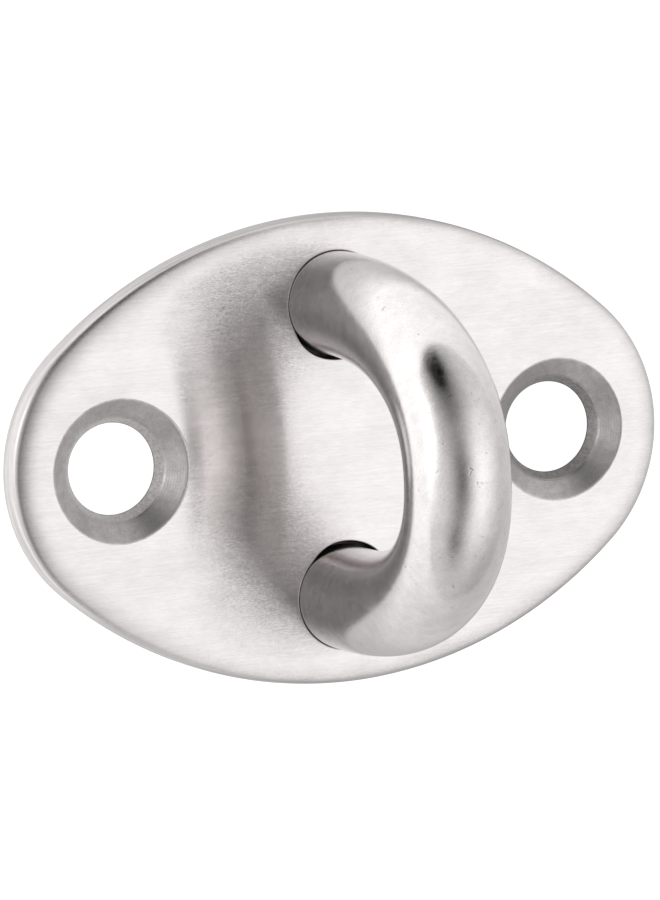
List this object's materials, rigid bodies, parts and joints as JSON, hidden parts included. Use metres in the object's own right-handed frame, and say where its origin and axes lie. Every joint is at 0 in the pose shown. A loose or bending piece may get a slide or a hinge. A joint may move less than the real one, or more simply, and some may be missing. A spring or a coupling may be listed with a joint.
{
  "type": "pad eye",
  "caption": "Oval stainless deck plate with countersunk screw holes and a round bar eye standing through its middle, welded at the back, for tying, hooking or shackling to.",
  "frame": {"origin": "on the plate's flat back, at its middle", "axes": "+Z out of the deck through the top of the eye, X along the plate's long axis through both screw holes, Y through both legs of the eye"},
  "size_m": [0.054, 0.036, 0.0266],
  "materials": {
    "plate_brushed": "fine grain brushed along the plate's long axis, edge tumbled",
    "bow_satin": "tumbled satin, smoother than the plate",
    "weld_ground": "weld ground level with the plate's back, coarse grinding marks and a faint heat tint"
  },
  "bodies": {
    "root": {"base_plate": "plate_brushed", "eye_bow": "bow_satin", "rear_weld_upper": "weld_ground", "rear_weld_lower": "weld_ground"}
  },
  "joints": []
}
